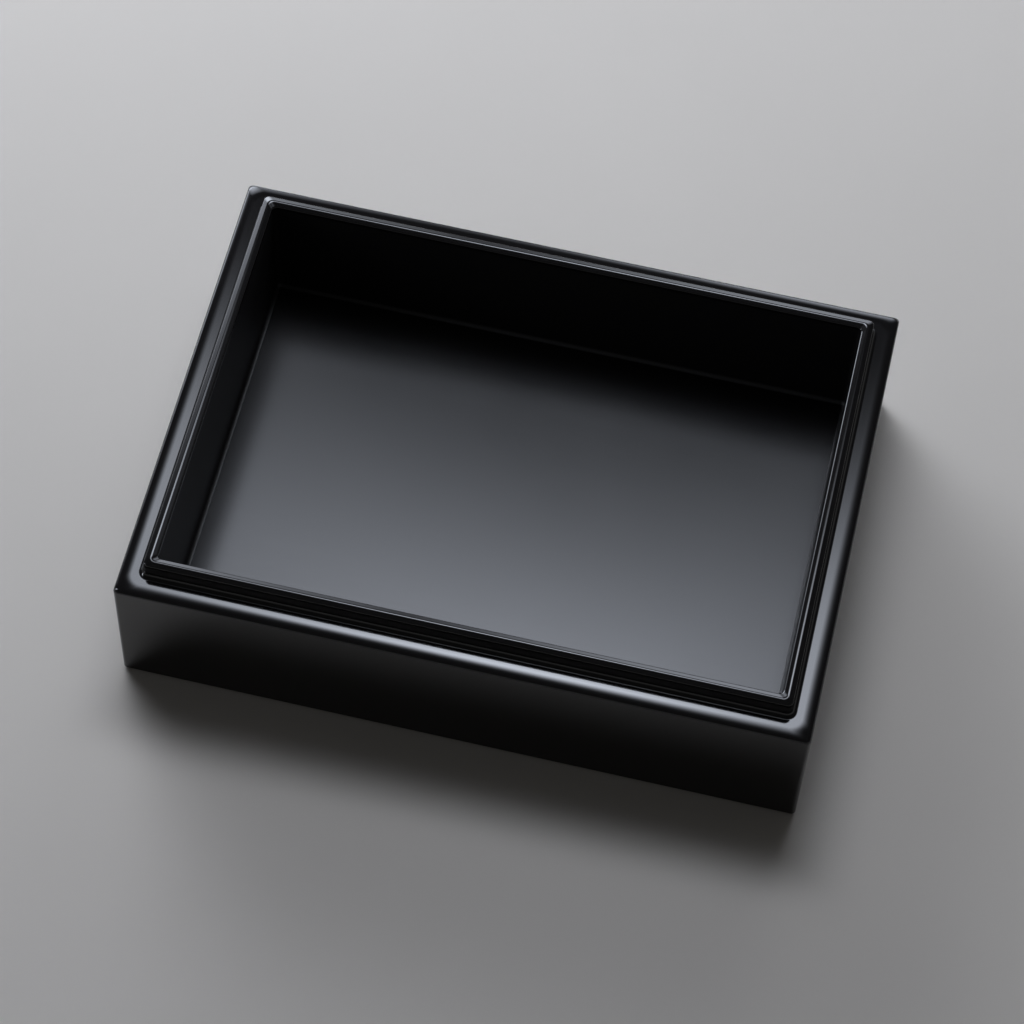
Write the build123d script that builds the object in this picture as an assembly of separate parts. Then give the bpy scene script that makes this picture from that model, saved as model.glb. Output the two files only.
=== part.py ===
from build123d import *
from math import sqrt
import os

# Open lacquered box body: four mitred wall boards, four lining boards whose tops
# stand up as a lip for a lid, a floor board grooved into the walls, and a loose
# tongue hidden in each wall mitre.
#
# Frame: millimetres, +Z up, +X along the length, +Y towards the back. The origin is
# the middle of the rest plane, under the centre of the box.


# ---- driving dimensions (mm) ----
box_length = 240.0            # outside, along X
box_width = 175.0             # outside, along Y
shoulder_height = 55.0        # rest plane to the flat of the shoulder
lip_height = 7.0              # lip above the shoulder
wall_thickness = 8.5          # wall boards, which is also the shoulder's width
lining_thickness = 4.0        # lining boards, which is also the lip's thickness
floor_thickness = 9.0         # floor board
floor_lift = 3.5              # underside of the floor board above the rest plane

# edges and corners
corner_round = 1.5            # upright outer corners
foot_round = 1.2              # outer edge at the rest plane
edge_round = 1.2              # outer edge of the shoulder
crown_radius = 16.0           # slow roll of the shoulder towards its outer edge
crown_reach = 4.5             # from the outer face to where the shoulder is flat
lip_cove = 2.0                # hollow corner between the shoulder and the lip
lip_corner_round = 1.8        # upright outer corners of the lip
lip_outer_round = 1.2         # outer top edge of the lip
lip_inner_round = 1.2         # inner top edge of the lip
inner_corner_round = 2.0      # upright corners inside
floor_cove = 1.5              # hollow corner between the floor and the lining

# joints
floor_tongue_thickness = 4.0  # tongue round the floor board's edge
floor_tongue_reach = 3.5      # how far that tongue enters the walls
groove_end_gap = 0.5          # room past the end of that tongue
key_thickness = 2.5           # loose tongue in a wall mitre
key_width = 7.0               # across the mitre, half in each wall
key_setback = 4.2             # from the mitre's inner corner to the key's middle
key_foot = 2.0                # wall left between the floor groove and the key slot
key_cover = 5.0               # wall left between the key slot and the shoulder
key_end_gap = 0.2             # room past each end and side edge of the key

# ---- sizes that follow ----
lip_top = shoulder_height + lip_height
floor_top = floor_lift + floor_thickness
rim = wall_thickness + lining_thickness
tongue_low = floor_lift + (floor_thickness - floor_tongue_thickness) / 2
groove_depth = floor_tongue_reach + groove_end_gap
key_low = tongue_low + floor_tongue_thickness + key_foot
key_high = shoulder_height - key_cover
loop_tolerance = 0.001


def inset_loop(inset, corner, z):
    """Outline of the box drawn in by an inset, with rounded corners, at a height."""
    outline = RectangleRounded(box_length - 2 * inset, box_width - 2 * inset, corner)
    return Pos(0, 0, z) * outline


def inset_prism(inset, corner, low, high):
    """Upright block on an inset outline."""
    return extrude(inset_loop(inset, corner, low), high - low)


def plain_prism(inset, low, high):
    """Upright block with square corners."""
    outline = Rectangle(box_length - 2 * inset, box_width - 2 * inset)
    return extrude(Pos(0, 0, low) * outline, high - low)


def outer_section(span):
    """Outer section across one span: foot rounds, edge rounds and crowned shoulder."""
    half = span / 2
    crown_x = half - crown_reach
    crown_z = shoulder_height - crown_radius
    round_x = half - edge_round
    inner = crown_radius - edge_round
    round_z = crown_z + sqrt(inner**2 - (round_x - crown_x) ** 2)
    share = crown_radius / inner
    join = (crown_x + (round_x - crown_x) * share, crown_z + (round_z - crown_z) * share)
    with BuildSketch() as section:
        with BuildLine():
            Line((0, 0), (half - foot_round, 0))
            RadiusArc((half - foot_round, 0), (half, foot_round), -foot_round)
            Line((half, foot_round), (half, round_z))
            RadiusArc((half, round_z), join, -edge_round)
            RadiusArc(join, (crown_x, shoulder_height), -crown_radius)
            Line((crown_x, shoulder_height), (0, shoulder_height))
            mirror(about=Plane.YZ)
        make_face()
    return section.sketch


def outer_block():
    """Solid block with the finished outside, mitred where the edges meet."""
    across = extrude(Plane.XZ * outer_section(box_length), box_width / 2, both=True)
    along = extrude(Plane.YZ * outer_section(box_width), box_length / 2, both=True)
    upright = inset_prism(0, corner_round, 0, shoulder_height)
    return across & along & upright


def edges_along(shape, loop):
    """Edges of a shape that lie on the outline of a loop."""
    wire = loop.face().outer_wire()
    found = []
    for edge in shape.edges():
        gaps = [wire.distance_to(edge.position_at(t)) for t in (0.0, 0.5, 1.0)]
        if max(gaps) < loop_tolerance:
            found.append(edge)
    return found


def finished_body():
    """The whole body in one piece, with its lip, hollow and rounded edges."""
    lip = inset_prism(wall_thickness, lip_corner_round, 0, lip_top)
    hollow = inset_prism(rim, inner_corner_round, floor_top, lip_top)
    body = outer_block() + lip - hollow
    lip_foot = inset_loop(wall_thickness, lip_corner_round, shoulder_height)
    lip_outer = inset_loop(wall_thickness, lip_corner_round, lip_top)
    lip_inner = inset_loop(rim, inner_corner_round, lip_top)
    floor_edge = inset_loop(rim, inner_corner_round, floor_top)
    body = fillet(edges_along(body, lip_foot), lip_cove)
    body = fillet(edges_along(body, lip_outer), lip_outer_round)
    body = fillet(edges_along(body, lip_inner), lip_inner_round)
    return fillet(edges_along(body, floor_edge), floor_cove)


def mitre_zones():
    """Upright zone of each side, bounded by the mitre planes."""
    x = box_length / 2
    y = box_width / 2
    depth = rim + inner_corner_round + floor_cove
    in_x = x - depth
    in_y = y - depth
    outlines = {
        "front": [(-x, -y), (x, -y), (in_x, -in_y), (-in_x, -in_y)],
        "right": [(x, -y), (x, y), (in_x, in_y), (in_x, -in_y)],
        "back": [(x, y), (-x, y), (-in_x, in_y), (in_x, in_y)],
        "left": [(-x, y), (-x, -y), (-in_x, -in_y), (-in_x, in_y)],
    }
    zones = {}
    for side, outline in outlines.items():
        zones[side] = extrude(make_face(Polyline(*outline, close=True)), lip_top)
    return zones


def mitre_corners():
    """Each corner's name, its signs along X and Y, and the turn of its mitre normal."""
    return {
        "front_left": (-1, -1, -45),
        "front_right": (1, -1, 45),
        "back_right": (1, 1, -45),
        "back_left": (-1, 1, 45),
    }


def key_block(sign_x, sign_y, turn, gap):
    """Loose tongue across one mitre, or its slot when a gap is given."""
    step = key_setback / sqrt(2)
    x = sign_x * (box_length / 2 - wall_thickness + step)
    y = sign_y * (box_width / 2 - wall_thickness + step)
    low = key_low - gap
    tall = key_high - key_low + 2 * gap
    bar = Box(key_width + 2 * gap, key_thickness, tall, align=(Align.CENTER, Align.CENTER, Align.MIN))
    return Pos(x, y, low) * Rot(0, 0, turn) * bar


def make_keys():
    """The four loose tongues."""
    keys = {}
    for corner, (sign_x, sign_y, turn) in mitre_corners().items():
        keys["corner_key_" + corner] = key_block(sign_x, sign_y, turn, 0)
    return keys


def make_floor():
    """Floor board with a tongue round its edge."""
    board = inset_prism(wall_thickness, lip_corner_round, floor_lift, floor_top)
    tongue_inset = wall_thickness - floor_tongue_reach
    tongue = plain_prism(tongue_inset, tongue_low, tongue_low + floor_tongue_thickness)
    return {"floor_board": board + tongue}


def make_walls(body, zones):
    """Wall boards: the body outside the lip's outline, grooved, slotted and mitred."""
    ring = body - inset_prism(wall_thickness, lip_corner_round, 0, lip_top)
    groove_inset = wall_thickness - groove_depth
    ring -= plain_prism(groove_inset, tongue_low, tongue_low + floor_tongue_thickness)
    for sign_x, sign_y, turn in mitre_corners().values():
        ring -= key_block(sign_x, sign_y, turn, key_end_gap)
    return {"wall_" + side: ring & zone for side, zone in zones.items()}


def make_linings(body, zones):
    """Lining boards: the body inside the lip's outline, above the floor board."""
    ring = body & inset_prism(wall_thickness, lip_corner_round, floor_top, lip_top)
    return {"lining_" + side: ring & zone for side, zone in zones.items()}


def main():
    """Build every piece and write one STEP file for each."""
    body = finished_body()
    zones = mitre_zones()
    pieces = {}
    pieces.update(make_walls(body, zones))
    pieces.update(make_linings(body, zones))
    pieces.update(make_floor())
    pieces.update(make_keys())
    os.makedirs("parts", exist_ok=True)
    for name, piece in pieces.items():
        export_step(piece, "parts/" + name + ".step")
        print(name, len(piece.solids()), round(piece.volume, 1))


main()
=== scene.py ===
"""Open lacquered box body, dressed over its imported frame.

Four mitred wall boards, four lining boards whose tops stand up as the lip, a
grooved-in floor board and four hidden corner keys, on a pale studio floor among
four soft panels. Metres, +Z up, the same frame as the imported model.
"""
import logging
import math
from collections.abc import Callable, Mapping, Sequence
from dataclasses import dataclass, field
from enum import Enum
from typing import Any, ClassVar

import bmesh
import bpy
from mathutils import Matrix, Vector


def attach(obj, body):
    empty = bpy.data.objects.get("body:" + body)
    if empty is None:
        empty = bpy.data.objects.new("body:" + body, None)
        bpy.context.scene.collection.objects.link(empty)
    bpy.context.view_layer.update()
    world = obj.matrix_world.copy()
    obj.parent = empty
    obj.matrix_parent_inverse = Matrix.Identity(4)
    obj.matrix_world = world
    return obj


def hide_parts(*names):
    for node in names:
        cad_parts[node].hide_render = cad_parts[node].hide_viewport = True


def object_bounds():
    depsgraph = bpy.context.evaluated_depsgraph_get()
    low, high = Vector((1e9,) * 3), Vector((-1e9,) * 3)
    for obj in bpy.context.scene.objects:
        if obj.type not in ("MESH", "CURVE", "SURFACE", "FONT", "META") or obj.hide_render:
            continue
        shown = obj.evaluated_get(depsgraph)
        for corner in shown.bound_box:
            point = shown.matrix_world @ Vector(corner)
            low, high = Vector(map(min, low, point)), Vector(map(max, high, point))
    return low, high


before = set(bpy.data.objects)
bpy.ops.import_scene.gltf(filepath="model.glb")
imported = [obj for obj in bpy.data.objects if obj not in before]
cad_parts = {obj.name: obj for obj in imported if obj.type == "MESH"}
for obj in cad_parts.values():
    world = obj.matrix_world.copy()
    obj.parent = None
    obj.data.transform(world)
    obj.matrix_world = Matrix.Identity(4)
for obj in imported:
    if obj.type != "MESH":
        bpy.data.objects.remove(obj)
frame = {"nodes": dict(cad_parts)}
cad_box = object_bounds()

log = logging.getLogger("lacquer_box")

MM = 0.001
BODY = "root"
TURN = 2 * math.pi
FACING = "facing"
CORNER = "section_corner"
OUTWARD = "section_out"
UPWARD = "section_up"


# ---------------------------------------------------------------- node graphs


class Wire:
    """A node socket whose arithmetic adds Math nodes to its graph."""

    def __init__(self, graph: "NodeGraph", socket: bpy.types.NodeSocket) -> None:
        """Wrap one output socket.

        Args:
            graph: The graph that the socket belongs to.
            socket: The output socket.
        """
        self.graph = graph
        self.socket = socket

    def __add__(self, other: "Wire | float") -> "Wire":
        """Sum with a wire or number."""
        return self.graph.math("ADD", self, other)

    def __radd__(self, other: float) -> "Wire":
        """Sum with a number on the left."""
        return self.graph.math("ADD", other, self)

    def __sub__(self, other: "Wire | float") -> "Wire":
        """Difference from a wire or number."""
        return self.graph.math("SUBTRACT", self, other)

    def __rsub__(self, other: float) -> "Wire":
        """Number on the left less this wire."""
        return self.graph.math("SUBTRACT", other, self)

    def __mul__(self, other: "Wire | float") -> "Wire":
        """Product with a wire or number."""
        return self.graph.math("MULTIPLY", self, other)

    def __rmul__(self, other: float) -> "Wire":
        """Product with a number on the left."""
        return self.graph.math("MULTIPLY", other, self)

    def __truediv__(self, other: "Wire | float") -> "Wire":
        """Quotient by a wire or number."""
        return self.graph.math("DIVIDE", self, other)

    def __rtruediv__(self, other: float) -> "Wire":
        """Number on the left divided by this wire."""
        return self.graph.math("DIVIDE", other, self)

    def __neg__(self) -> "Wire":
        """The wire with its sign changed."""
        return self.graph.math("MULTIPLY", self, -1.0)

    def __pow__(self, other: "Wire | float") -> "Wire":
        """Power of a wire or number."""
        return self.graph.math("POWER", self, other)


class NodeGraph:
    """Adds and links nodes of one node tree."""

    def __init__(self, tree: bpy.types.NodeTree) -> None:
        """Wrap an empty tree.

        Args:
            tree: The node tree to fill.
        """
        self.tree = tree

    def node(
        self,
        kind: str,
        settings: Mapping[str, Any] | None = None,
        feeds: Mapping[str | int, Any] | None = None,
    ) -> bpy.types.Node:
        """Add a node, set its options and feed its sockets.

        Args:
            kind: Blender's name of the node type.
            settings: Options by attribute name. A "stops" entry gives a colour
                ramp's places and colours.
            feeds: Values or wires by socket name, identifier or index.

        Returns:
            The new node.
        """
        made = self.tree.nodes.new(kind)
        for key, value in (settings or {}).items():
            if key == "stops":
                self._set_stops(made, value)
            else:
                setattr(made, key, value)
        for key, value in (feeds or {}).items():
            self.feed(self._socket(made, key), value)
        return made

    def feed(self, socket: bpy.types.NodeSocket, value: Any) -> None:
        """Link a wire to a socket, or set the socket's own value.

        Args:
            socket: The input socket.
            value: A wire, an output socket or a plain value.
        """
        if isinstance(value, Wire):
            self.tree.links.new(value.socket, socket)
        elif isinstance(value, bpy.types.NodeSocket):
            self.tree.links.new(value, socket)
        else:
            socket.default_value = value

    def wire(
        self,
        kind: str,
        settings: Mapping[str, Any] | None = None,
        feeds: Mapping[str | int, Any] | None = None,
        out: str | int = 0,
    ) -> Wire:
        """Add a node and wrap one of its outputs.

        Args:
            kind: Blender's name of the node type.
            settings: Options by attribute name.
            feeds: Values or wires by socket name, identifier or index.
            out: Name or index of the output.

        Returns:
            The wrapped output.
        """
        return Wire(self, self.node(kind, settings, feeds).outputs[out])

    def math(self, operation: str, *values: "Wire | float") -> Wire:
        """Add a Math node.

        Args:
            operation: The node's operation.
            values: Its inputs, in order.

        Returns:
            Its result.
        """
        feeds = dict(enumerate(values))
        return self.wire("ShaderNodeMath", {"operation": operation}, feeds)

    def vector(self, x: Any, y: Any, z: Any) -> Wire:
        """Join three numbers or wires into a vector."""
        return self.wire("ShaderNodeCombineXYZ", None, {0: x, 1: y, 2: z})

    def blend(self, share: Any, low: Any, high: Any) -> Wire:
        """Mix two colours.

        Args:
            share: How much of the second colour.
            low: The first colour.
            high: The second colour.

        Returns:
            The mixed colour.
        """
        feeds = {"Factor_Float": share, "A_Color": low, "B_Color": high}
        mix = self.node("ShaderNodeMix", {"data_type": "RGBA"}, feeds)
        return Wire(self, next(s for s in mix.outputs if s.identifier == "Result_Color"))

    @staticmethod
    def _socket(node: bpy.types.Node, key: str | int) -> bpy.types.NodeSocket:
        """Input socket of a node, by index, identifier or name."""
        if isinstance(key, int):
            return node.inputs[key]
        for socket in node.inputs:
            if socket.identifier == key:
                return socket
        return node.inputs[key]

    @staticmethod
    def _set_stops(ramp: bpy.types.Node, stops: Sequence[tuple[float, Any]]) -> None:
        """Set a colour ramp's stops.

        Args:
            ramp: The colour ramp node.
            stops: Place and colour of each stop.
        """
        elements = ramp.color_ramp.elements
        while len(elements) < len(stops):
            elements.new(1.0)
        for element, (place, colour) in zip(elements, stops):
            element.position = place
            element.color = colour


def grey(level: float) -> tuple[float, float, float, float]:
    """Opaque neutral colour of one linear level."""
    return (level, level, level, 1.0)


# -------------------------------------------------------------------- finishes


class Finish:
    """Base of the finishes: makes a material with its shader and output."""

    name: str

    def material(self) -> bpy.types.Material:
        """Make the finish's material.

        Returns:
            The material, with its nodes.
        """
        made = bpy.data.materials.new(self.name)
        made.use_nodes = True
        made.node_tree.nodes.clear()
        graph = NodeGraph(made.node_tree)
        output = graph.node("ShaderNodeOutputMaterial")
        graph.feed(output.inputs["Surface"], self.surface(graph))
        return made

    def surface(self, graph: NodeGraph) -> Wire:
        """Build the shader; each finish has its own."""
        raise NotImplementedError

    @staticmethod
    def place(graph: NodeGraph, scale: Sequence[float]) -> Wire:
        """Object coordinates, scaled along each axis.

        Args:
            graph: The material's graph.
            scale: Factors along X, Y and Z.

        Returns:
            The scaled coordinates.
        """
        where = graph.wire("ShaderNodeTexCoord", out="Object")
        return graph.wire("ShaderNodeMapping", None, {"Vector": where, "Scale": tuple(scale)})


@dataclass(frozen=True)
class Lacquer(Finish):
    """Black lacquer coat over wood.

    Attributes:
        name: Material name.
        tone: Linear base colour in the deep parts of the coat.
        warm_tone: Linear base colour where the coat is a little thinner.
        roughness: Middle roughness of the polish.
        roughness_swing: How far hazy patches move the roughness.
        ripple_size: Width of the slow ripples in the coat.
        ripple_height: Height of those ripples.
        streaks: Share of fine polishing streaks along X, 0 for none.
        dust_spacing: Mean spacing of settled dust, 0 for none.
        ior: Refractive index, lower where the coat is rubbed satin.
        satin_below: Height under which the coat is left satin, 0 for none.
        satin: Roughness of that satin part.
        seed: Fourth coordinate of the noises.
    """

    name: str
    tone: tuple[float, float, float] = (0.0035, 0.0035, 0.0040)
    warm_tone: tuple[float, float, float] = (0.0060, 0.0052, 0.0052)
    roughness: float = 0.09
    roughness_swing: float = 0.025
    ripple_size: float = 22 * MM
    ripple_height: float = 0.004 * MM
    streaks: float = 0.0
    dust_spacing: float = 0.0
    ior: float = 1.5
    satin_below: float = 0.0
    satin: float = 0.5
    seed: float = 0.0

    satin_fade: ClassVar[float] = 1.5 * MM
    haze_size: ClassVar[float] = 38 * MM
    streak_size: ClassVar[float] = 0.9 * MM
    streak_length: ClassVar[float] = 45 * MM
    streak_height: ClassVar[float] = 0.0007 * MM
    streak_share: ClassVar[float] = 0.5
    streak_seed: ClassVar[float] = 3.0
    dust_size: ClassVar[float] = 0.13 * MM
    dust_colour: ClassVar[tuple[float, float, float, float]] = grey(0.10)
    dust_roughness: ClassVar[float] = 0.5

    def surface(self, graph: NodeGraph) -> Wire:
        """Build the coat: hazy depth, polish, ripples, streaks and dust.

        Args:
            graph: The material's graph.

        Returns:
            The shader.
        """
        haze = self._noise(graph, self.haze_size, detail=3.0)
        colour = graph.blend(haze, (*self.tone, 1.0), (*self.warm_tone, 1.0))
        polish = self.roughness + (haze - 0.5) * (2 * self.roughness_swing)
        ripple = self._noise(graph, self.ripple_size, detail=1.5)
        height = ripple * self.ripple_height
        if self.streaks:
            streak = self._streak(graph)
            polish = polish + (streak - 0.5) * (self.streak_share * self.streaks)
            height = height + streak * (self.streaks * self.streak_height)
        if self.dust_spacing:
            speck = self._dust(graph)
            colour = graph.blend(speck, colour, self.dust_colour)
            polish = polish + speck * self.dust_roughness
        if self.satin_below:
            polish = polish + self._satin_share(graph) * (self.satin - self.roughness)
        normal = graph.wire(
            "ShaderNodeBump", None, {"Strength": 1.0, "Distance": 1.0, "Height": height}
        )
        return graph.wire(
            "ShaderNodeBsdfPrincipled",
            None,
            {"Base Color": colour, "Roughness": polish, "IOR": self.ior, "Normal": normal},
        )

    def _satin_share(self, graph: NodeGraph) -> Wire:
        """1 below the satin height, 0 above it."""
        where = self.place(graph, (1.0, 1.0, 1.0))
        height = graph.wire("ShaderNodeSeparateXYZ", None, {0: where}, out="Z")
        feeds = {
            "Value": height,
            "From Min": self.satin_below,
            "From Max": self.satin_below - self.satin_fade,
        }
        return graph.wire("ShaderNodeMapRange", None, feeds)

    def _noise(self, graph: NodeGraph, size: float, detail: float) -> Wire:
        """Even noise whose blotches are about one size across."""
        where = self.place(graph, (1.0, 1.0, 1.0))
        return graph.wire(
            "ShaderNodeTexNoise",
            {"noise_dimensions": "4D"},
            {"Vector": where, "W": self.seed, "Scale": 1 / size, "Detail": detail},
        )

    def _streak(self, graph: NodeGraph) -> Wire:
        """Fine lines along X, as polishing leaves."""
        across = 1 / self.streak_size
        where = self.place(graph, (1 / self.streak_length, across, across))
        return graph.wire(
            "ShaderNodeTexNoise",
            {"noise_dimensions": "4D"},
            {"Vector": where, "W": self.seed + self.streak_seed, "Scale": 1.0, "Detail": 2.0},
        )

    def _dust(self, graph: NodeGraph) -> Wire:
        """Mask of single specks, one near each cell's middle."""
        where = self.place(graph, (1.0, 1.0, 1.0))
        reach = graph.wire(
            "ShaderNodeTexVoronoi",
            {"voronoi_dimensions": "4D"},
            {"Vector": where, "W": self.seed, "Scale": 1 / self.dust_spacing},
            out="Distance",
        )
        limit = self.dust_size / self.dust_spacing
        return graph.math("LESS_THAN", reach, limit)


@dataclass(frozen=True)
class BareWood(Finish):
    """Pale straight-grained softwood with no coat.

    Attributes:
        name: Material name.
        early: Colour of the soft early wood.
        late: Colour of the thin late-wood lines.
        line_gap: Distance between two late-wood lines.
        roughness: Middle roughness.
    """

    name: str = "bare_cypress"
    early: tuple[float, float, float] = (0.62, 0.45, 0.27)
    late: tuple[float, float, float] = (0.42, 0.26, 0.13)
    line_gap: float = 0.9 * MM
    roughness: float = 0.62

    stretch: ClassVar[float] = 0.06
    line_scale: ClassVar[float] = 0.16
    pore_scale: ClassVar[float] = 2600.0
    relief: ClassVar[float] = 0.03 * MM

    def surface(self, graph: NodeGraph) -> Wire:
        """Build the grain along Z.

        Args:
            graph: The material's graph.

        Returns:
            The shader.
        """
        where = self.place(graph, (1.0, 1.0, self.stretch))
        scale = self.line_scale / self.line_gap
        lines = graph.wire(
            "ShaderNodeTexWave",
            {"wave_type": "BANDS", "bands_direction": "DIAGONAL"},
            {"Vector": where, "Scale": scale, "Distortion": 1.2, "Detail": 2.0},
            out="Fac",
        )
        feeds = {"Vector": where, "Scale": self.pore_scale, "Detail": 3.0}
        pores = graph.wire("ShaderNodeTexNoise", None, feeds)
        share = lines ** 2.5 * 0.75 + pores * 0.2
        colour = graph.blend(share, (*self.early, 1.0), (*self.late, 1.0))
        normal = graph.wire(
            "ShaderNodeBump", None, {"Distance": self.relief, "Strength": 0.6, "Height": share}
        )
        rough = self.roughness + (pores - 0.5) * 0.2
        return graph.wire(
            "ShaderNodeBsdfPrincipled",
            None,
            {"Base Color": colour, "Roughness": rough, "Normal": normal},
        )


# --------------------------------------------------------------- board section


@dataclass(frozen=True)
class SectionPoint:
    """One point of a board's section.

    Attributes:
        inset: Distance inside the box's outer face.
        height: Height above the rest plane.
        corner: Radius of the box's upright corner at this point.
        out: Outward share of the surface's facing.
        up: Upward share of the surface's facing.
    """

    inset: float
    height: float
    corner: float
    out: float = 0.0
    up: float = 0.0


@dataclass
class Section:
    """Closed outline of a board, from its inner foot outwards and up."""

    points: list[SectionPoint] = field(default_factory=list)

    def spot(
        self, inset: float, height: float, corner: float, out: float = 0.0, up: float = 0.0
    ) -> None:
        """Add one point.

        Args:
            inset: Distance inside the box's outer face.
            height: Height above the rest plane.
            corner: Radius of the upright corner there.
            out: Outward share of the facing, with both shares 0 for a hidden
                edge that stays sharp.
            up: Upward share of the facing.
        """
        self.points.append(SectionPoint(inset, height, corner, out, up))

    def arc(
        self,
        centre: tuple[float, float],
        radius: float,
        angles: tuple[float, float],
        corner: Callable[[float], float],
        hollow: bool = False,
        steps: int = 12,
    ) -> None:
        """Add an arc; angle 0 points outwards and 90 up.

        Args:
            centre: Inset and height of its centre.
            radius: Its radius.
            angles: First and last angle in degrees.
            corner: Upright corner's radius at an inset.
            hollow: True where the surface faces the centre.
            steps: Number of straight pieces.
        """
        sign = -1.0 if hollow else 1.0
        for step in range(steps + 1):
            angle = math.radians(angles[0] + (angles[1] - angles[0]) * step / steps)
            out, up = math.cos(angle), math.sin(angle)
            inset = centre[0] - radius * out
            height = centre[1] + radius * up
            self.spot(inset, height, corner(inset), sign * out, sign * up)

    def mesh(self, name: str) -> bpy.types.Mesh:
        """Turn the outline into a loop of edges that carries its attributes.

        Args:
            name: Name of the mesh.

        Returns:
            The mesh, with X as inset and Z as height.
        """
        count = len(self.points)
        made = bpy.data.meshes.new(name)
        spots = [(p.inset, 0.0, p.height) for p in self.points]
        made.from_pydata(spots, [(i, (i + 1) % count) for i in range(count)], [])
        columns = {
            CORNER: [p.corner for p in self.points],
            OUTWARD: [p.out for p in self.points],
            UPWARD: [p.up for p in self.points],
        }
        for key, values in columns.items():
            made.attributes.new(key, "FLOAT", "POINT").data.foreach_set("value", values)
        return made


class Side(Enum):
    """A side of the box, with its quarter turns from the front."""

    FRONT = 0
    RIGHT = 1
    BACK = 2
    LEFT = 3

    @property
    def label(self) -> str:
        """Name of the side in piece names."""
        return self.name.lower()


@dataclass(frozen=True)
class BoxSizes:
    """Sizes that the boards share, in metres.

    Attributes:
        length: Outside, along X.
        width: Outside, along Y.
        lip_top: Height of the lip.
        shoulder_height: Height of the shoulder's flat.
        wall_thickness: Wall boards.
        lining_thickness: Lining boards.
        floor_thickness: Floor board.
        floor_lift: Underside of the floor board.
        lip_corner_round: Upright outer corner of the lip.
        inner_corner_round: Upright corner inside.
    """

    length: float
    width: float
    lip_top: float
    shoulder_height: float = 55 * MM
    wall_thickness: float = 8.5 * MM
    lining_thickness: float = 4 * MM
    floor_thickness: float = 9 * MM
    floor_lift: float = 3.5 * MM
    lip_corner_round: float = 1.8 * MM
    inner_corner_round: float = 2 * MM

    @property
    def rim(self) -> float:
        """Thickness of wall and lining together."""
        return self.wall_thickness + self.lining_thickness

    @property
    def floor_top(self) -> float:
        """Height of the floor board's upper face."""
        return self.floor_lift + self.floor_thickness

    def halves(self, side: Side) -> tuple[float, float]:
        """Half the run along a side, and half the depth across it."""
        along, across = self.length / 2, self.width / 2
        return (along, across) if side.value % 2 == 0 else (across, along)


# ------------------------------------------------------------- swept boards


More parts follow.
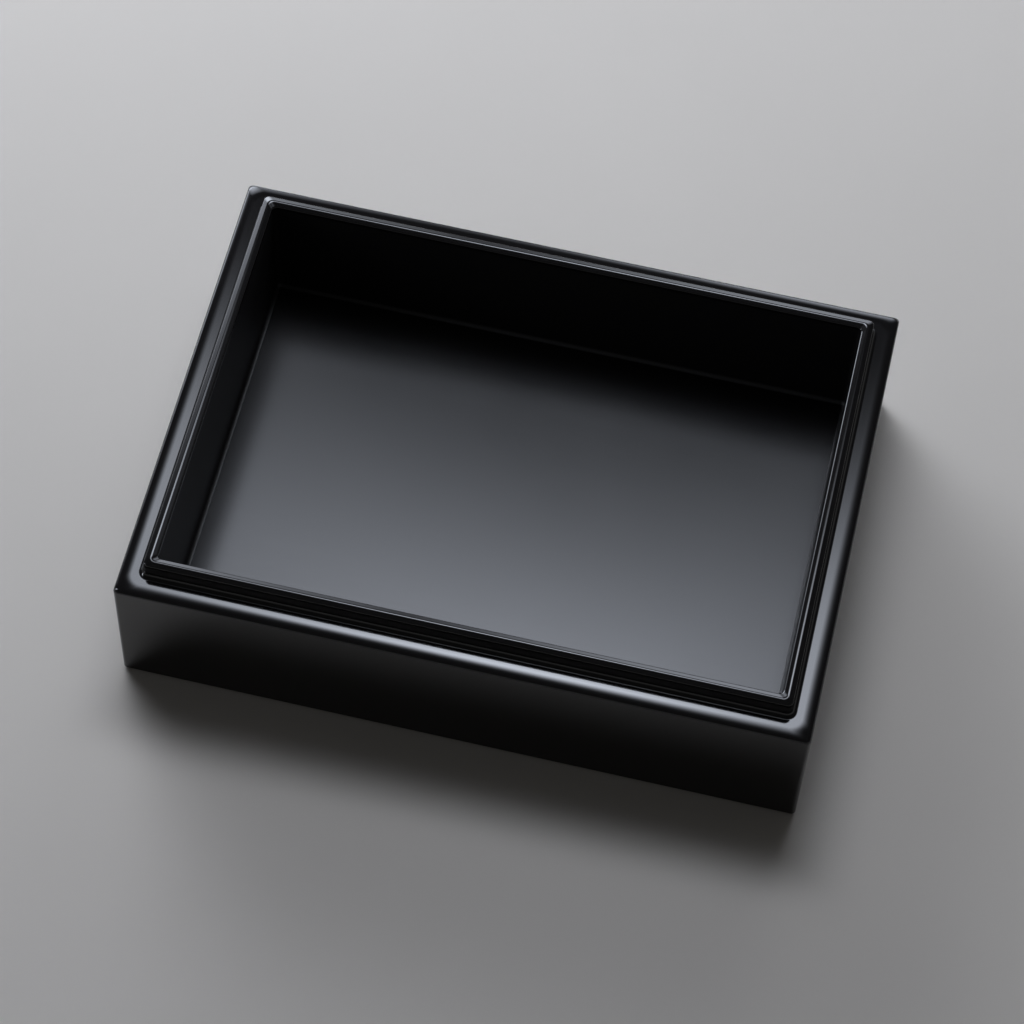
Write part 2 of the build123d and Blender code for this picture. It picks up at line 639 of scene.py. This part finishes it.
class BoardSweep:
    """Geometry node tree that sweeps a section along one side of the box.

    Each station of the run turns through half a corner, goes straight, and
    turns through half of the next corner. Both ends lie in the mitre planes.
    """

    corner_steps: ClassVar[int] = 10
    run_steps: ClassVar[int] = 24
    sharp_limit: ClassVar[float] = 0.8

    def __init__(self) -> None:
        """Build the tree once."""
        self.tree = bpy.data.node_groups.new("board_sweep", "GeometryNodeTree")
        self.inputs: dict[str, str] = {}
        self._declare()
        self._build()

    def _declare(self) -> None:
        """Name the tree's inputs and its output."""
        kinds = {
            "Section": "NodeSocketGeometry",
            "Half Run": "NodeSocketFloat",
            "Half Depth": "NodeSocketFloat",
            "Quarter Turns": "NodeSocketInt",
            "Corner Steps": "NodeSocketInt",
            "Run Steps": "NodeSocketInt",
            "Finish": "NodeSocketMaterial",
        }
        for name, kind in kinds.items():
            made = self.tree.interface.new_socket(name, in_out="INPUT", socket_type=kind)
            self.inputs[name] = made.identifier
        self.tree.interface.new_socket("Board", in_out="OUTPUT", socket_type="NodeSocketGeometry")

    def _build(self) -> None:
        """Add the nodes."""
        graph = NodeGraph(self.tree)
        given = graph.node("NodeGroupInput").outputs
        value = {name: Wire(graph, given[name]) for name in self.inputs}
        corner_steps, run_steps = value["Corner Steps"], value["Run Steps"]
        count = graph.wire(
            "GeometryNodeAttributeDomainSize", None, {0: value["Section"]}, out="Point Count"
        )
        stations = corner_steps * 2.0 + run_steps + 1.0
        line = graph.wire("GeometryNodeCurvePrimitiveLine")
        path = graph.wire("GeometryNodeResampleCurve", None, {"Curve": line, "Count": stations})
        ring = graph.wire("GeometryNodeCurvePrimitiveCircle", None, {"Resolution": count})
        feeds = {"Curve": path, "Profile Curve": ring, "Fill Caps": True}
        tube = graph.wire("GeometryNodeCurveToMesh", None, feeds)
        index = graph.wire("GeometryNodeInputIndex")
        station = graph.math("FLOOR", (index + 0.5) / count)
        place = index - station * count

        inset = self._sample(graph, value["Section"], place, self._axis(graph, "X"))
        height = self._sample(graph, value["Section"], place, self._axis(graph, "Z"))
        corner = self._sample(graph, value["Section"], place, self._column(graph, CORNER))
        out = self._sample(graph, value["Section"], place, self._column(graph, OUTWARD))
        up = self._sample(graph, value["Section"], place, self._column(graph, UPWARD))

        before = self._share(graph, (corner_steps - station) / corner_steps)
        after = self._share(graph, (station - corner_steps - run_steps) / corner_steps)
        along = self._share(graph, (station - corner_steps) / run_steps) * 2.0 - 1.0
        angle = (after - before) * (TURN / 8)
        sine, cosine = graph.math("SINE", angle), graph.math("COSINE", angle)
        run = along * (value["Half Run"] - inset - corner) + corner * sine
        depth = value["Half Depth"] - inset - corner + corner * cosine
        turn = value["Quarter Turns"] * (TURN / 4)
        spot = self._turned(graph, graph.vector(run, -depth, height), turn)
        facing = self._turned(graph, graph.vector(out * sine, -(out * cosine), up), turn)

        placed = graph.wire("GeometryNodeSetPosition", None, {"Geometry": tube, "Position": spot})
        marked = graph.wire(
            "GeometryNodeStoreNamedAttribute",
            {"data_type": "FLOAT_VECTOR", "domain": "POINT"},
            {"Geometry": placed, "Name": FACING, "Value": facing},
        )
        smooth = graph.wire("GeometryNodeSetShadeSmooth", None, {"Geometry": marked})
        real = graph.wire("GeometryNodeRealizeInstances", None, {"Geometry": smooth})
        coated = graph.wire(
            "GeometryNodeSetMaterial", None, {"Geometry": real, "Material": value["Finish"]}
        )
        graph.node("NodeGroupOutput", None, {0: coated})

    @staticmethod
    def _axis(graph: NodeGraph, axis: str) -> Wire:
        """One coordinate of the section's points."""
        where = graph.wire("GeometryNodeInputPosition")
        return graph.wire("ShaderNodeSeparateXYZ", None, {0: where}, out=axis)

    @staticmethod
    def _column(graph: NodeGraph, name: str) -> Wire:
        """One of the section's own attributes."""
        return graph.wire("GeometryNodeInputNamedAttribute", {"data_type": "FLOAT"}, {"Name": name})

    @staticmethod
    def _sample(graph: NodeGraph, section: Wire, place: Wire, what: Wire) -> Wire:
        """Read a value at one place of the section."""
        return graph.wire(
            "GeometryNodeSampleIndex", None, {"Geometry": section, "Value": what, "Index": place}
        )

    @staticmethod
    def _share(graph: NodeGraph, value: Wire) -> Wire:
        """Hold a value between 0 and 1."""
        return graph.wire("ShaderNodeClamp", None, {"Value": value})

    @staticmethod
    def _turned(graph: NodeGraph, vector: Wire, angle: Wire) -> Wire:
        """Turn a vector about Z."""
        return graph.wire(
            "ShaderNodeVectorRotate",
            {"rotation_type": "Z_AXIS"},
            {"Vector": vector, "Angle": angle},
        )

    def board(
        self, name: str, section: Section, side: Side, sizes: BoxSizes, finish: bpy.types.Material
    ) -> bpy.types.Object:
        """Sweep one board and turn it into a plain mesh.

        Args:
            name: Name of the piece.
            section: Its section.
            side: The side it stands on.
            sizes: The box's sizes.
            finish: Its material.

        Returns:
            The finished object.
        """
        carrier = bpy.data.objects.new(name + "_section", section.mesh(name + "_section"))
        bpy.context.scene.collection.objects.link(carrier)
        sweep = carrier.modifiers.new("sweep", "NODES")
        sweep.node_group = self.tree
        half_run, half_depth = sizes.halves(side)
        values = {
            "Half Run": half_run,
            "Half Depth": half_depth,
            "Quarter Turns": side.value,
            "Corner Steps": self.corner_steps,
            "Run Steps": self.run_steps,
            "Finish": finish,
        }
        for key, value in values.items():
            sweep[self.inputs[key]] = value
        graph = bpy.context.evaluated_depsgraph_get()
        mesh = bpy.data.meshes.new_from_object(carrier.evaluated_get(graph))
        mesh.name = name
        bpy.data.objects.remove(carrier)
        made = bpy.data.objects.new(name, mesh)
        bpy.context.scene.collection.objects.link(made)
        self._face_outwards(mesh)
        self._set_facing(mesh)
        return made

    @staticmethod
    def _face_outwards(mesh: bpy.types.Mesh) -> None:
        """Turn all faces round if the closed mesh is inside out."""
        work = bmesh.new()
        work.from_mesh(mesh)
        if work.calc_volume(signed=True) < 0:
            bmesh.ops.reverse_faces(work, faces=work.faces)
            work.to_mesh(mesh)
        work.free()

    def _set_facing(self, mesh: bpy.types.Mesh) -> None:
        """Give every rounded face the exact facing of its section.

        Args:
            mesh: The swept mesh, whose points carry their facing.
        """
        facing = [item.vector.copy() for item in mesh.attributes[FACING].data]
        normals = [(0.0, 0.0, 0.0)] * len(mesh.loops)
        for polygon in mesh.polygons:
            polygon.use_smooth = True
            flat = polygon.normal.copy()
            for loop in polygon.loop_indices:
                wanted = facing[mesh.loops[loop].vertex_index]
                close = wanted.dot(flat) > self.sharp_limit
                normals[loop] = tuple(wanted.normalized() if close else flat)
        mesh.attributes.remove(mesh.attributes[FACING])
        mesh.normals_split_custom_set(normals)


# ----------------------------------------------------------------- the pieces


@dataclass
class WallBoards:
    """Four mitred outer boards with a crowned shoulder.

    Attributes:
        sizes: The box's sizes.
        corner_round: Upright outer corner.
        foot_round: Outer edge at the rest plane.
        edge_round: Outer edge of the shoulder.
        crown_radius: Slow roll of the shoulder.
        crown_reach: From the outer face to the shoulder's flat.
        crown_corner: Upright corner of the crown, past its outer edge.
        groove_round: Upright corner at the bottom of the floor's groove.
        lip_cove: Hollow corner below the lip.
        groove_inset: Bottom of the floor's groove.
        groove: Lower and upper side of the floor's groove.
    """

    sizes: BoxSizes
    corner_round: float = 1.5 * MM
    foot_round: float = 1.2 * MM
    edge_round: float = 1.2 * MM
    crown_radius: float = 16 * MM
    crown_reach: float = 4.5 * MM
    crown_corner: float = 4 * MM
    groove_round: float = 0.3 * MM
    lip_cove: float = 2 * MM
    groove_inset: float = 4.5 * MM
    groove: tuple[float, float] = (6 * MM, 10 * MM)

    def section(self) -> Section:
        """Outline of a wall board.

        Returns:
            The closed section.
        """
        sizes, made = self.sizes, Section()
        inner, shoulder = sizes.wall_thickness, sizes.shoulder_height
        gap = self.crown_radius - self.edge_round
        reach = self.crown_reach - self.edge_round
        rise = math.sqrt(gap**2 - reach**2)
        crown_height = shoulder - self.crown_radius
        join = math.degrees(math.atan2(rise, reach))
        made.arc((self.foot_round, self.foot_round), self.foot_round, (-90, 0), self._foot, steps=8)
        made.arc((self.edge_round, crown_height + rise), self.edge_round, (0, join), self._crown)
        made.arc((self.crown_reach, crown_height), self.crown_radius, (join, 90), self._crown)
        made.arc(
            (inner - self.lip_cove, shoulder + self.lip_cove),
            self.lip_cove,
            (-90, -180),
            self._cove,
            hollow=True,
        )
        round_ = sizes.lip_corner_round
        made.spot(inner, self.groove[1], round_)
        made.spot(self.groove_inset, self.groove[1], self.groove_round)
        made.spot(self.groove_inset, self.groove[0], self.groove_round)
        made.spot(inner, self.groove[0], round_)
        made.spot(inner, 0.0, round_, 0.0, -1.0)
        return made

    def _foot(self, inset: float) -> float:
        """Upright corner's radius at an inset on the foot's round."""
        return max(self.corner_round - inset, self.groove_round)

    def _crown(self, inset: float) -> float:
        """Upright corner's radius at an inset on the crown."""
        share = min(2 * inset / self.crown_reach, 1.0)
        return self.corner_round + share * (self.crown_corner - self.corner_round)

    def _cove(self, inset: float) -> float:
        """Upright corner's radius in the cove below the lip."""
        return self.sizes.lip_corner_round + self.sizes.wall_thickness - inset

    def build(self, sweep: BoardSweep, finish: bpy.types.Material) -> list[bpy.types.Object]:
        """Make the four boards.

        Args:
            sweep: The sweeping tree.
            finish: Their material.

        Returns:
            The boards.
        """
        made = []
        for side in Side:
            name = "lacquered_wall_" + side.label
            board = sweep.board(name, self.section(), side, self.sizes, finish)
            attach(board, BODY)
            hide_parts("wall_" + side.label)
            made.append(board)
        return made


@dataclass
class LiningBoards:
    """Four mitred inner boards whose tops are the lip.

    Attributes:
        sizes: The box's sizes.
        crest: Inset and radius of the lip's rounded crest.
        slopes: Fall of the lip's top outside and inside the crest, in degrees.
        edge_rounds: Outer and inner top edge of the lip.
        floor_cove: Hollow corner above the floor.
    """

    sizes: BoxSizes
    crest: tuple[float, float] = (10.45 * MM, 1.5 * MM)
    slopes: tuple[float, float] = (16.0, 20.0)
    edge_rounds: tuple[float, float] = (0.5 * MM, 0.7 * MM)
    floor_cove: float = 1.5 * MM

    def section(self) -> Section:
        """Outline of a lining board.

        Returns:
            The closed section.
        """
        sizes, made = self.sizes, Section()
        outer, inner, top, foot = sizes.wall_thickness, sizes.rim, sizes.lip_top, sizes.floor_top
        first, last = 90 - self.slopes[0], 90 + self.slopes[1]
        near, far = self.edge_rounds
        made.spot(outer, foot, sizes.lip_corner_round)
        made.arc(self._edge_centre(outer + near, near, first), near, (0, first), self._lip)
        made.arc((self.crest[0], top - self.crest[1]), self.crest[1], (first, last), self._lip)
        made.arc(self._edge_centre(inner - far, far, last), far, (last, 180), self._lip)
        made.arc(
            (inner + self.floor_cove, foot + self.floor_cove),
            self.floor_cove,
            (0, -90),
            self._inner,
            hollow=True,
        )
        return made

    def _edge_centre(self, inset: float, radius: float, angle: float) -> tuple[float, float]:
        """Centre of an edge round that runs on smoothly into the crest.

        Args:
            inset: Inset of the centre.
            radius: Radius of the edge round.
            angle: Facing of the slope between the two, in degrees.

        Returns:
            Inset and height of the centre.
        """
        out, up = math.cos(math.radians(angle)), math.sin(math.radians(angle))
        middle, crest = self.crest
        low = self.sizes.lip_top - crest
        return inset, low + (crest - radius + (inset - middle) * out) / up

    def _lip(self, inset: float) -> float:
        """Upright corner's radius at an inset across the lip."""
        sizes = self.sizes
        share = (inset - sizes.wall_thickness) / sizes.lining_thickness
        return sizes.lip_corner_round + share * (sizes.inner_corner_round - sizes.lip_corner_round)

    def _inner(self, inset: float) -> float:
        """Upright corner's radius at an inset on the inner face."""
        return self.sizes.inner_corner_round + self.sizes.rim - inset

    def build(self, sweep: BoardSweep, finish: bpy.types.Material) -> list[bpy.types.Object]:
        """Make the four boards.

        Args:
            sweep: The sweeping tree.
            finish: Their material.

        Returns:
            The boards.
        """
        made = []
        for side in Side:
            name = "lacquered_lining_" + side.label
            board = sweep.board(name, self.section(), side, self.sizes, finish)
            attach(board, BODY)
            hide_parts("lining_" + side.label)
            made.append(board)
        return made


@dataclass
class FloorBoard:
    """Floor board with a tongue round its edge.

    Attributes:
        sizes: The box's sizes.
        tongue_reach: How far the tongue enters the walls.
        tongue: Lower and upper side of the tongue.
        corner_steps: Straight pieces of each rounded corner.
    """

    sizes: BoxSizes
    tongue_reach: float = 3.5 * MM
    tongue: tuple[float, float] = (6 * MM, 10 * MM)
    corner_steps: int = 8

    def _outline(self, inset: float, corner: float, height: float) -> list[Vector]:
        """Rounded rectangle at an inset and height."""
        half_x = self.sizes.length / 2 - inset - corner
        half_y = self.sizes.width / 2 - inset - corner
        points = []
        for quarter, (sign_x, sign_y) in enumerate(((1, 1), (-1, 1), (-1, -1), (1, -1))):
            for step in range(self.corner_steps + 1):
                angle = TURN / 4 * (quarter + step / self.corner_steps)
                x = sign_x * half_x + corner * math.cos(angle)
                y = sign_y * half_y + corner * math.sin(angle)
                points.append(Vector((x, y, height)))
        return points

    def build(self, finish: bpy.types.Material) -> bpy.types.Object:
        """Make the board.

        Args:
            finish: Its material.

        Returns:
            The board.
        """
        sizes = self.sizes
        body, corner = sizes.wall_thickness, sizes.lip_corner_round
        tongue = body - self.tongue_reach
        levels = [
            (body, sizes.floor_lift),
            (body, self.tongue[0]),
            (tongue, self.tongue[0]),
            (tongue, self.tongue[1]),
            (body, self.tongue[1]),
            (body, sizes.floor_top),
        ]
        work = bmesh.new()
        loops = []
        for inset, height in levels:
            outline = self._outline(inset, corner, height)
            loops.append([work.verts.new(point) for point in outline])
        for low, high in zip(loops, loops[1:]):
            for i in range(len(low)):
                j = (i + 1) % len(low)
                work.faces.new((low[i], low[j], high[j], high[i]))
        work.faces.new(list(reversed(loops[0])))
        work.faces.new(loops[-1])
        bmesh.ops.recalc_face_normals(work, faces=work.faces)
        mesh = bpy.data.meshes.new("lacquered_floor")
        work.to_mesh(mesh)
        work.free()
        mesh.materials.append(finish)
        made = bpy.data.objects.new("lacquered_floor", mesh)
        bpy.context.scene.collection.objects.link(made)
        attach(made, BODY)
        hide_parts("floor_board")
        return made


@dataclass
class CornerKeys:
    """The four loose tongues hidden in the wall mitres."""

    nodes: Mapping[str, bpy.types.Object]
    prefix: str = "corner_key_"

    def dress(self, finish: bpy.types.Material) -> list[bpy.types.Object]:
        """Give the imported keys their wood.

        Args:
            finish: The wood.

        Returns:
            The keys.
        """
        keys = [node for name, node in sorted(self.nodes.items()) if name.startswith(self.prefix)]
        for key in keys:
            key.data.materials.clear()
            key.data.materials.append(finish)
        return keys


# ------------------------------------------------------------------ the studio


@dataclass(frozen=True)
class StudioFloor(Finish):
    """Pale matt table top that runs out into a pale backdrop.

    Attributes:
        name: Material name.
        colour: Linear colour of the table.
        backdrop: Level of the far part where it is seen or reflected.
        fade: Radius where the far part starts, and where it has taken over.
    """

    name: str = "pale_table"
    colour: tuple[float, float, float] = (0.58, 0.545, 0.495)
    backdrop: float = 0.36
    fade: tuple[float, float] = (0.38, 1.1)

    roughness: ClassVar[float] = 0.85
    mottle_scale: ClassVar[float] = 9.0
    mottle_share: ClassVar[float] = 0.93

    def surface(self, graph: NodeGraph) -> Wire:
        """Build the table's shader.

        Args:
            graph: The material's graph.

        Returns:
            The shader.
        """
        where = self.place(graph, (1.0, 1.0, 1.0))
        feeds = {"Vector": where, "Scale": self.mottle_scale, "Detail": 5.0}
        mottle = graph.wire("ShaderNodeTexNoise", None, feeds)
        darker = tuple(self.mottle_share * level for level in self.colour)
        colour = graph.blend(mottle, (*darker, 1.0), (*self.colour, 1.0))
        coat = {"Base Color": colour, "Roughness": self.roughness}
        matt = graph.wire("ShaderNodeBsdfPrincipled", None, coat)
        glow = {"Color": grey(1.0), "Strength": self.backdrop}
        far = graph.wire("ShaderNodeEmission", None, glow)
        length = {"operation": "LENGTH"}
        radius = graph.wire("ShaderNodeVectorMath", length, {0: where}, out="Value")
        share = graph.wire(
            "ShaderNodeMapRange",
            {"interpolation_type": "SMOOTHSTEP"},
            {"Value": radius, "From Min": self.fade[0], "From Max": self.fade[1]},
        )
        seen = seen_rays(graph)
        return graph.wire("ShaderNodeMixShader", None, {0: share * seen, 1: matt, 2: far})


def seen_rays(graph: NodeGraph) -> Wire:
    """Share of rays that look at or mirror the backdrop.

    Args:
        graph: The material's or world's graph.

    Returns:
        1 for camera, glossy and transmission rays, else 0.
    """
    path = graph.node("ShaderNodeLightPath")
    kinds = ("Is Camera Ray", "Is Glossy Ray", "Is Transmission Ray")
    camera, glossy, through = (Wire(graph, path.outputs[kind]) for kind in kinds)
    return graph.math("MINIMUM", camera + glossy + through, 1.0)


@dataclass(frozen=True)
class Glow:
    """One soft patch of light on a panel.

    Attributes:
        level: Radiance at its middle, where 1 is white.
        place: Where its middle is on the panel, from the panel's own middle.
        spread: Width and height over which the light falls to 0.61.
        edge: 1 for a bell-shaped fall, more for a flatter top and a firmer edge.
        slant: How much the patch climbs along its width.
    """

    level: float
    place: tuple[float, float] = (0.0, 0.0)
    spread: tuple[float, float] = (0.2, 0.2)
    edge: float = 1.0
    slant: float = 0.0

    def strength(self, graph: NodeGraph, across: Wire, along: Wire) -> Wire:
        """Light of the patch over the panel.

        Args:
            graph: The lamp's graph.
            across: Metres from the panel's middle along its width.
            along: Metres from the panel's middle along its height.

        Returns:
            The radiance.
        """
        wide = (across - self.place[0]) / self.spread[0]
        tall = (along - self.place[1]) / self.spread[1] - wide * self.slant
        fall = (wide * wide + tall * tall) ** self.edge
        return graph.math("EXPONENT", fall * -0.5) * self.level


@dataclass(frozen=True)
class SoftPanel:
    """A diffusing panel lit in soft patches.

    Attributes:
        name: Name of the lamp.
        centre: Where its middle is.
        aim: The point it faces.
        extent: Full width and height.
        glows: Its patches of light.
        tint: Colour of the light.
        gloss_only: True where it shows in gloss but doesn't light matt surfaces.
    """

    name: str
    centre: tuple[float, float, float]
    aim: tuple[float, float, float]
    extent: tuple[float, float]
    glows: tuple[Glow, ...]
    tint: tuple[float, float, float] = (0.94, 1.0, 1.13)
    gloss_only: bool = False

    def build(self) -> bpy.types.Object:
        """Make the lamp.

        Returns:
            The lamp's object.
        """
        lamp = bpy.data.lights.new(self.name, "AREA")
        lamp.shape = "RECTANGLE"
        lamp.size, lamp.size_y = self.extent
        lamp.energy = 4 * self.extent[0] * self.extent[1]
        lamp.use_nodes = True
        lamp.node_tree.nodes.clear()
        graph = NodeGraph(lamp.node_tree)
        spot = graph.wire("ShaderNodeNewGeometry", out="Parametric")
        parts = graph.node("ShaderNodeSeparateXYZ", None, {0: spot})
        across = (Wire(graph, parts.outputs["X"]) - 0.5) * self.extent[0]
        along = (Wire(graph, parts.outputs["Y"]) - 0.5) * self.extent[1]
        first, *others = (glow.strength(graph, across, along) for glow in self.glows)
        level = sum(others, first)
        glow = {"Color": (*self.tint, 1.0), "Strength": level}
        light = graph.wire("ShaderNodeEmission", None, glow)
        graph.node("ShaderNodeOutputLight", None, {"Surface": light})
        made = bpy.data.objects.new(self.name, lamp)
        made.visible_camera = False
        made.visible_diffuse = not self.gloss_only
        centre = Vector(self.centre)
        facing = (Vector(self.aim) - centre).to_track_quat("-Z", "Y").to_matrix().to_4x4()
        made.matrix_world = Matrix.Translation(centre) @ facing
        bpy.context.scene.collection.objects.link(made)
        return made


@dataclass
class Studio:
    """Table, backdrop, panels and camera.

    Attributes:
        table_reach: Half width of the table plane.
        camera_place: The camera's position.
        azimuth: Direction of view, from +Y towards -X, in degrees.
        elevation: How far the camera looks down, in degrees.
        roll: Turn of the camera about its view, in degrees.
        lens: Focal length for a 36 mm wide sensor.
        overhead: The large soft panel above and behind the box.
        low_side: The low panel behind the box on the left.
        far_side: The dim panel behind the box on the right.
        left_strip: The narrow upright panel on the left.
        room_light: Level of the dim room around.
        horizon: Height, as a sine, up to which the backdrop stays pale.
    """

    table_reach: float = 4.0
    camera_place: tuple[float, float, float] = (0.11044, -0.61085, 1.05750)
    azimuth: float = 10.3031
    elevation: float = 59.2802
    roll: float = 3.2045
    lens: float = 119.556
    overhead: SoftPanel = SoftPanel(
        "overhead_panel",
        centre=(-0.06, 0.42, 1.055),
        aim=(-0.06, 0.42, 0.0),
        extent=(2.0, 1.2),
        glows=(
            Glow(6.2, place=(0.081, 0.006), spread=(0.172, 0.111), edge=1.13, slant=0.54),
            Glow(5.5, place=(-0.105, -0.016), spread=(0.225, 0.138), edge=1.47, slant=-0.78),
        ),
    )
    low_side: SoftPanel = SoftPanel(
        "low_side_panel",
        centre=(-0.75, 0.95, 0.48),
        aim=(0.0, 0.0, 0.05),
        extent=(1.3, 0.9),
        glows=(Glow(8.5, spread=(0.35, 0.25), edge=1.3),),
    )
    far_side: SoftPanel = SoftPanel(
        "far_side_panel",
        centre=(0.14, 1.05, 0.58),
        aim=(0.0, 0.0, 0.05),
        extent=(0.8, 0.6),
        glows=(Glow(3.2, spread=(0.20, 0.14), edge=1.5),),
    )
    left_strip: SoftPanel = SoftPanel(
        "left_strip_panel",
        centre=(-1.15, -0.22, 0.66),
        aim=(0.0, 0.0, 0.05),
        extent=(0.3, 1.3),
        glows=(Glow(9.0, spread=(0.06, 0.38), edge=2.0),),
        gloss_only=True,
    )
    room_light: float = 0.06
    horizon: float = 0.55

    def build(self) -> None:
        """Make everything round the box."""
        self._table()
        self._room()
        for panel in (self.overhead, self.low_side, self.far_side, self.left_strip):
            panel.build()
        self._camera()

    def _table(self) -> None:
        """Lay the table plane."""
        reach = self.table_reach
        mesh = bpy.data.meshes.new("table")
        corners = [(-reach, -reach, 0), (reach, -reach, 0), (reach, reach, 0), (-reach, reach, 0)]
        mesh.from_pydata(corners, [], [(0, 1, 2, 3)])
        mesh.materials.append(StudioFloor().material())
        table = bpy.data.objects.new("table", mesh)
        bpy.context.scene.collection.objects.link(table)

    def _room(self) -> None:
        """Light the room dimly, and show its backdrop pale near the horizon."""
        world = bpy.data.worlds.new("room")
        world.use_nodes = True
        world.node_tree.nodes.clear()
        graph = NodeGraph(world.node_tree)
        dim = graph.wire("ShaderNodeBackground", None, {"Strength": self.room_light})
        spot = graph.wire("ShaderNodeTexCoord", out="Generated")
        height = graph.wire("ShaderNodeSeparateXYZ", None, {0: spot}, out="Z")
        feeds = {"Value": height, "From Max": self.horizon, "To Min": StudioFloor.backdrop}
        feeds["To Max"] = self.room_light
        level = graph.wire("ShaderNodeMapRange", {"interpolation_type": "SMOOTHSTEP"}, feeds)
        pale = graph.wire("ShaderNodeBackground", None, {"Strength": level})
        both = graph.wire("ShaderNodeMixShader", None, {0: seen_rays(graph), 1: dim, 2: pale})
        graph.node("ShaderNodeOutputWorld", None, {"Surface": both})
        bpy.context.scene.world = world

    def _camera(self) -> None:
        """Set the camera at the photographed view."""
        data = bpy.data.cameras.new("view")
        data.lens = self.lens
        data.sensor_width = 36.0
        data.clip_start, data.clip_end = 0.05, 50.0
        made = bpy.data.objects.new("view", data)
        azimuth, elevation, roll = (
            math.radians(a) for a in (self.azimuth, self.elevation, self.roll)
        )
        turn = Matrix.Rotation(azimuth, 4, "Z") @ Matrix.Rotation(math.pi / 2 - elevation, 4, "X")
        made.matrix_world = (
            Matrix.Translation(self.camera_place) @ turn @ Matrix.Rotation(roll, 4, "Z")
        )
        bpy.context.scene.collection.objects.link(made)
        bpy.context.scene.camera = made


# ------------------------------------------------------------------------ main


def main() -> None:
    """Build the box on its frame, then the studio round it."""
    logging.basicConfig(level=logging.INFO, format="%(name)s: %(message)s")
    low, high = cad_box
    sizes = BoxSizes(length=high.x - low.x, width=high.y - low.y, lip_top=high.z - low.z)
    wall_coat = Lacquer("polished_wall_lacquer", seed=1.0)
    lining_coat = Lacquer("polished_lining_lacquer", satin_below=sizes.lip_top - 1 * MM, seed=2.0)
    floor_coat = Lacquer(
        "satin_floor_lacquer",
        roughness=0.22,
        roughness_swing=0.02,
        streaks=0.06,
        dust_spacing=34 * MM,
        ior=1.44,
        seed=3.0,
    )
    sweep = BoardSweep()
    pieces = WallBoards(sizes).build(sweep, wall_coat.material())
    pieces += LiningBoards(sizes).build(sweep, lining_coat.material())
    pieces.append(FloorBoard(sizes).build(floor_coat.material()))
    pieces += CornerKeys(frame["nodes"]).dress(BareWood().material())
    for piece in pieces:
        log.info("%s: %d faces", piece.name, len(piece.data.polygons))
    Studio().build()
    bpy.context.scene.view_settings.view_transform = "Standard"


if __name__ == "__main__":
    main()
